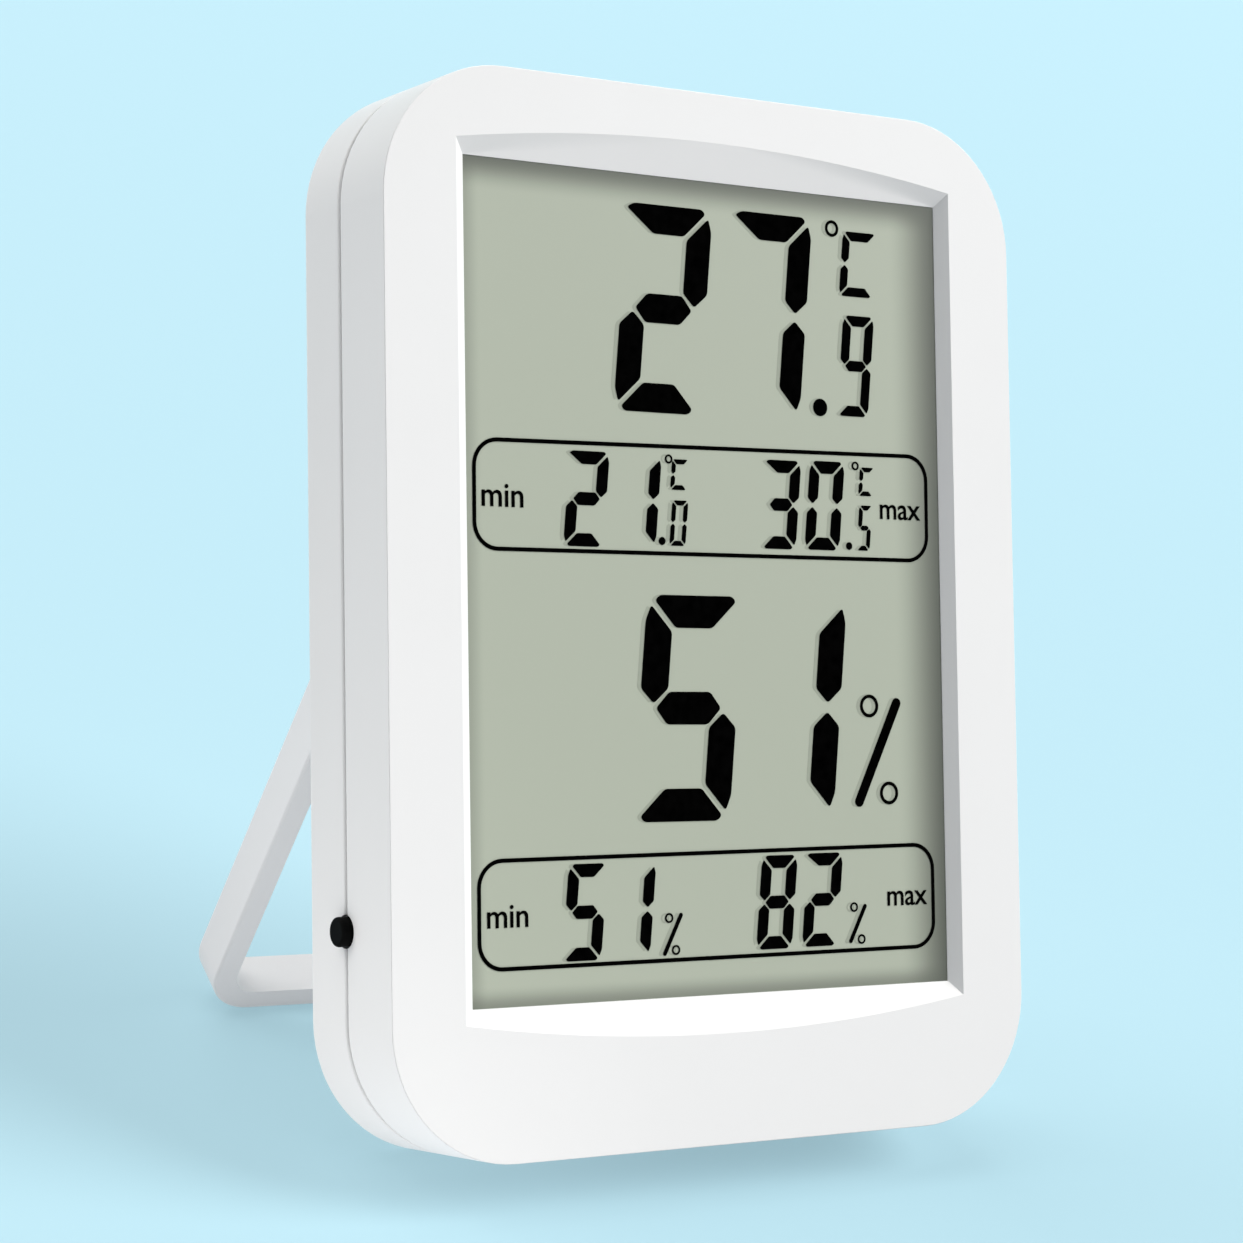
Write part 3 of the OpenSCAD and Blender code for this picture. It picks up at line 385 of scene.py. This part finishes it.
for number, (word, x, z, width) in enumerate(words):
    bpy.ops.object.select_all(action="DESELECT")
    bpy.ops.object.text_add()
    piece = bpy.context.object
    piece.name = "display_word_%d" % (number + 1)
    piece.data.body = word
    piece.data.offset = word_weight
    piece.data.extrude = word_depth
    bpy.ops.object.convert(target="MESH")
    piece = bpy.context.object
    bpy.ops.object.mode_set(mode="EDIT")
    bpy.ops.mesh.select_all(action="SELECT")
    bpy.ops.mesh.remove_doubles(threshold=word_weld)
    bpy.ops.mesh.normals_make_consistent(inside=False)
    bpy.ops.object.mode_set(mode="OBJECT")
    left = min(corner.co.x for corner in piece.data.vertices)
    right = max(corner.co.x for corner in piece.data.vertices)
    size = width / (right - left)
    stretch = Matrix.Diagonal((size, size, sign_lift / (2 * word_depth), 1.0))
    set_down = Matrix.Translation(Vector((x - left * size, film_front - sign_gap - sign_lift / 2, z)))
    piece.matrix_world = case_place @ in_metres @ set_down @ stand_up @ stretch
    bpy.ops.object.transform_apply(location=True, rotation=True, scale=True)
    piece.data.materials.clear()
    piece.data.materials.append(sign_black)
    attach(piece, "case")


# Display cell behind the film: two panes of thin glass with a silvery reflector at the back.
# They drop into a white moulded frame, and a striped rubber strip joins them to the board.

display_glass = plain_finish("display_glass", (0.78, 0.83, 0.76), 0.08)
add_tone_drift(display_glass, 60.0, (0.75, 0.81, 0.74), (0.80, 0.85, 0.78))
add_sheen_drift(display_glass, add_grain(display_glass, 300.0, 0.000005, 0.03), 0.05, 0.12)
tune(display_glass, "Transmission Weight", 0.35)
dress(display_glass, "lcd_front_glass", "lcd_rear_glass")

reflector_silver = plain_finish("reflector_silver", (0.52, 0.55, 0.46), 0.5, metallic=0.3)
add_tone_drift(reflector_silver, 800.0, (0.49, 0.52, 0.43), (0.55, 0.58, 0.49))
add_sheen_drift(reflector_silver, add_grain(reflector_silver, 2500.0, 0.00002, 0.2), 0.42, 0.58)
dress(reflector_silver, "lcd_reflector")

frame_white = plain_finish("frame_white", (0.80, 0.80, 0.78), 0.5)
add_tone_drift(frame_white, 80.0, (0.78, 0.78, 0.76), (0.82, 0.82, 0.80))
add_sheen_drift(frame_white, add_grain(frame_white, 1800.0, 0.00003, 0.1), 0.45, 0.56)
dress(frame_white, "lcd_frame")

strip_rubber = plain_finish("strip_rubber", (0.2, 0.2, 0.22), 0.6)
strip_spot = place_on(strip_rubber)
strip_wave = add_node(strip_rubber, "ShaderNodeTexWave", Scale=900.0,
                      wave_type="BANDS", bands_direction="X")
strip_tone = add_node(strip_rubber, "ShaderNodeValToRGB")
strip_tone.color_ramp.elements[0].position = 0.45
strip_tone.color_ramp.elements[0].color = (0.02, 0.02, 0.022, 1.0)
strip_tone.color_ramp.elements[1].position = 0.55
strip_tone.color_ramp.elements[1].color = (0.42, 0.43, 0.46, 1.0)
wire(strip_rubber, strip_spot, strip_wave, "Vector")
wire(strip_rubber, strip_wave, strip_tone, "Fac")
feed(strip_rubber, strip_tone, "Base Color")
add_sheen_drift(strip_rubber, add_grain(strip_rubber, 3000.0, 0.00002, 0.2), 0.5, 0.7)
dress(strip_rubber, "zebra_strip")


# Circuit board: glass-fibre laminate under a green mask, with copper runs that show through it.
# A black resin blob covers the controller; a crystal, eight chips and the climate sensor are soldered on.

board_green = plain_finish("board_green", (0.03, 0.16, 0.06), 0.35)
board_spot = place_on(board_green, turn=(case_lean, 0.0, 0.0))
board_runs = add_node(board_green, "ShaderNodeTexBrick", Scale=160.0)
board_runs.inputs["Color1"].default_value = (0.028, 0.15, 0.058, 1.0)
board_runs.inputs["Color2"].default_value = (0.036, 0.18, 0.068, 1.0)
board_runs.inputs["Mortar"].default_value = (0.06, 0.27, 0.1, 1.0)
board_runs.inputs["Mortar Size"].default_value = 0.03
wire(board_green, board_spot, board_runs, "Vector")
feed(board_green, board_runs, "Base Color", "Color")
add_sheen_drift(board_green, add_grain(board_green, 900.0, 0.00002, 0.15), 0.28, 0.42)
dress(board_green, "circuit_board")

resin_black = plain_finish("resin_black", (0.012, 0.012, 0.014), 0.28)
add_tone_drift(resin_black, 300.0, (0.009, 0.009, 0.011), (0.017, 0.017, 0.02))
add_sheen_drift(resin_black, add_grain(resin_black, 700.0, 0.00005, 0.2), 0.22, 0.4)
dress(resin_black, "controller_blob")

chip_tan = plain_finish("chip_tan", (0.4, 0.29, 0.17), 0.55)
add_tone_drift(chip_tan, 700.0, (0.34, 0.24, 0.14), (0.47, 0.35, 0.21))
add_sheen_drift(chip_tan, add_grain(chip_tan, 3000.0, 0.00002, 0.2), 0.48, 0.62)
dress(chip_tan, "chip_parts")

plated_steel = plain_finish("plated_steel", (0.68, 0.69, 0.7), 0.28, metallic=1.0)
add_tone_drift(plated_steel, 400.0, (0.62, 0.63, 0.64), (0.73, 0.74, 0.75), stretch=(8, 1, 1))
add_sheen_drift(plated_steel, add_grain(plated_steel, 1800.0, 0.00001, 0.12, stretch=(8, 1, 1)), 0.2, 0.36)
dress(plated_steel, "crystal_can", "climate_sensor", "case_screws", "board_screws")


# Battery: one round cell in a printed sleeve, held between a coiled spring and a flat contact.
# The sleeve is dark blue with a pale band at its plus end, and the rims are bare steel.

cell_low, cell_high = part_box("battery_cell")

cell_sleeve = plain_finish("cell_sleeve", (0.02, 0.07, 0.16), 0.3)
cell_spot = add_node(cell_sleeve, "ShaderNodeTexCoord")
cell_axes = add_node(cell_sleeve, "ShaderNodeSeparateXYZ")
cell_run = add_span(cell_sleeve, cell_low.x, cell_high.x, 0.0, 1.0)
cell_bands = add_node(cell_sleeve, "ShaderNodeValToRGB")
cell_bands.color_ramp.interpolation = "CONSTANT"
cell_bands.color_ramp.elements[0].color = (0.55, 0.56, 0.58, 1.0)
cell_bands.color_ramp.elements[1].position = 0.03
cell_bands.color_ramp.elements[1].color = (0.02, 0.07, 0.16, 1.0)
for position, colour in ((0.70, (0.62, 0.64, 0.66)), (0.72, (0.02, 0.07, 0.16)),
                         (0.76, (0.62, 0.64, 0.66)), (0.935, (0.55, 0.56, 0.58))):
    stop = cell_bands.color_ramp.elements.new(position)
    stop.color = (*colour, 1.0)
wire(cell_sleeve, cell_spot, cell_axes, "Vector", "Object")
wire(cell_sleeve, cell_axes, cell_run, "Value", "X")
wire(cell_sleeve, cell_run, cell_bands, "Fac")
feed(cell_sleeve, cell_bands, "Base Color")
add_sheen_drift(cell_sleeve, add_grain(cell_sleeve, 900.0, 0.00001, 0.1), 0.22, 0.36)
dress(cell_sleeve, "battery_cell")

dress(plated_steel, "battery_spring", "negative_contact", "positive_contact")


# Leads: two short tinned wires in soft insulation, black for minus and red for plus.
# They are soldered between the contacts and the board.

lead_black = plain_finish("lead_black", (0.01, 0.01, 0.01), 0.5)
add_tone_drift(lead_black, 500.0, (0.008, 0.008, 0.008), (0.014, 0.014, 0.014))
add_sheen_drift(lead_black, add_grain(lead_black, 2500.0, 0.00002, 0.2), 0.42, 0.58)
dress(lead_black, "lead_black")

lead_red = plain_finish("lead_red", (0.45, 0.02, 0.015), 0.5)
add_tone_drift(lead_red, 500.0, (0.4, 0.016, 0.012), (0.5, 0.026, 0.02))
add_sheen_drift(lead_red, add_grain(lead_red, 2500.0, 0.00002, 0.2), 0.42, 0.58)
dress(lead_red, "lead_red")


# Floor: one wide pale sheet that fills the whole view behind and under the part.
# Seen by the camera and in reflections it is pale blue, half by its own light, so that shadows stay soft.
# It also glows on the part as painted light, nearly white, and strongest in a round patch by the lower
# left corner.

floor_size = 8.0
floor_back = 2.0
floor_blue = (0.205, 0.315, 0.36)
floor_blue_glow = (0.235, 0.36, 0.405)
floor_grey = (0.2, 0.2, 0.21)
floor_painted_glow = (0.36, 0.385, 0.4)
# Painted light: a brighter glow in a round patch on the floor by the lower left corner.
painted_light_glow = (1.35, 1.35, 1.35)
painted_light_middle = (-0.07, -0.035 - floor_back, 0.0)
painted_light_radius = 0.08
mix_first, mix_second, mix_result = 6, 7, 2


def seen_rays(owner):
    rays = add_node(owner, "ShaderNodeLightPath")
    direct = add_node(owner, "ShaderNodeMath", operation="MAXIMUM")
    seen = add_node(owner, "ShaderNodeMath", operation="MAXIMUM")
    wire(owner, rays, direct, 0, "Is Camera Ray")
    wire(owner, rays, direct, 1, "Is Glossy Ray")
    wire(owner, direct, seen, 0)
    wire(owner, rays, seen, 1, "Is Transmission Ray")
    return seen


def mix_tones(material, share, first, second):
    mix = add_node(material, "ShaderNodeMix", data_type="RGBA")
    mix.inputs[mix_first].default_value = (*first, 1.0)
    mix.inputs[mix_second].default_value = (*second, 1.0)
    wire(material, share, mix, 0)
    return mix


bpy.ops.object.select_all(action="DESELECT")
bpy.ops.mesh.primitive_plane_add(size=floor_size, location=(0.0, floor_back, 0.0))
floor = bpy.context.object
floor.name = "floor"
floor_pale = plain_finish("floor_pale", floor_blue, 0.9)
floor_shown = seen_rays(floor_pale)
floor_tone = mix_tones(floor_pale, floor_shown, floor_grey, floor_blue)
feed(floor_pale, floor_tone, "Base Color", mix_result)
# Painted light: the glow that only rays lighting the part see is strongest at the patch's middle.
floor_spot = add_node(floor_pale, "ShaderNodeTexCoord")
floor_reach = add_node(floor_pale, "ShaderNodeVectorMath", operation="DISTANCE")
floor_reach.inputs[1].default_value = painted_light_middle
painted_light_patch = add_span(floor_pale, 0.0, painted_light_radius, 1.0, 0.0, "SMOOTHSTEP")
wire(floor_pale, floor_spot, floor_reach, 0, "Object")
wire(floor_pale, floor_reach, painted_light_patch, "Value", "Value")
floor_painted_bounce = mix_tones(floor_pale, painted_light_patch, floor_painted_glow, painted_light_glow)
floor_glow = mix_tones(floor_pale, floor_shown, floor_painted_glow, floor_blue_glow)
wire(floor_pale, floor_painted_bounce, floor_glow, mix_first, mix_result)
feed(floor_pale, floor_glow, "Emission Color", mix_result)
tune(floor_pale, "Emission Strength", 1.0)
floor.data.materials.append(floor_pale)


# Light: a large soft lamp in front, high and to the right, a weaker one at the left for the side wall
# and the stand, and a wide one above and behind. The ambient light is low and slightly cool, and what
# the camera and reflections see of it is the pale blue of the floor.

def aim_lamp(name, towards, strength, spread, colour):
    bpy.ops.object.light_add(type="SUN", location=Vector(towards))
    lamp = bpy.context.object
    lamp.name = name
    lamp.data.energy = strength
    lamp.data.angle = radians(spread)
    lamp.data.color = colour
    lamp.rotation_euler = Vector(towards).to_track_quat("Z", "Y").to_euler()


aim_lamp("front_lamp", (0.68, -0.364, 0.638), 1.08 * pi, 40.0, (1.0, 0.985, 0.97))
aim_lamp("side_lamp", (-0.73, 0.5, 0.47), 0.27 * pi, 40.0, (1.0, 0.96, 0.92))
aim_lamp("top_lamp", (-0.25, 0.36, 0.9), 0.55 * pi, 60.0, (1.0, 0.98, 0.96))

ambient = bpy.data.worlds.new("ambient")
bpy.context.scene.world = ambient
ambient.use_nodes = True
ambient_light = ambient.node_tree.nodes["Background"]
ambient_light.inputs["Color"].default_value = (0.94, 0.95, 1.0, 1.0)
ambient_light.inputs["Strength"].default_value = 0.12
ambient_shown = add_node(ambient, "ShaderNodeBackground")
ambient_shown.inputs["Color"].default_value = (0.6, 0.88, 0.99, 1.0)
ambient_mix = add_node(ambient, "ShaderNodeMixShader")
wire(ambient, seen_rays(ambient), ambient_mix, 0)
wire(ambient, ambient_light, ambient_mix, 1)
wire(ambient, ambient_shown, ambient_mix, 2)
wire(ambient, ambient_mix, ambient.node_tree.nodes["World Output"], "Surface")


# Camera: a long lens in front of the part, to its left and a little above its middle.
# It is tipped sideways, so that the upright edges of the leaning case stand straight in the picture.

bpy.ops.object.camera_add(location=(-0.1903316, -0.26117014, 0.14330308),
                          rotation=(radians(73.93752432), radians(-11.42334737), radians(-31.80788765)))
camera = bpy.context.object
camera.data.sensor_width = 36.0
camera.data.lens = 90.932
camera.data.clip_start = 0.01
bpy.context.scene.camera = camera
bpy.context.scene.view_settings.view_transform = "Standard"
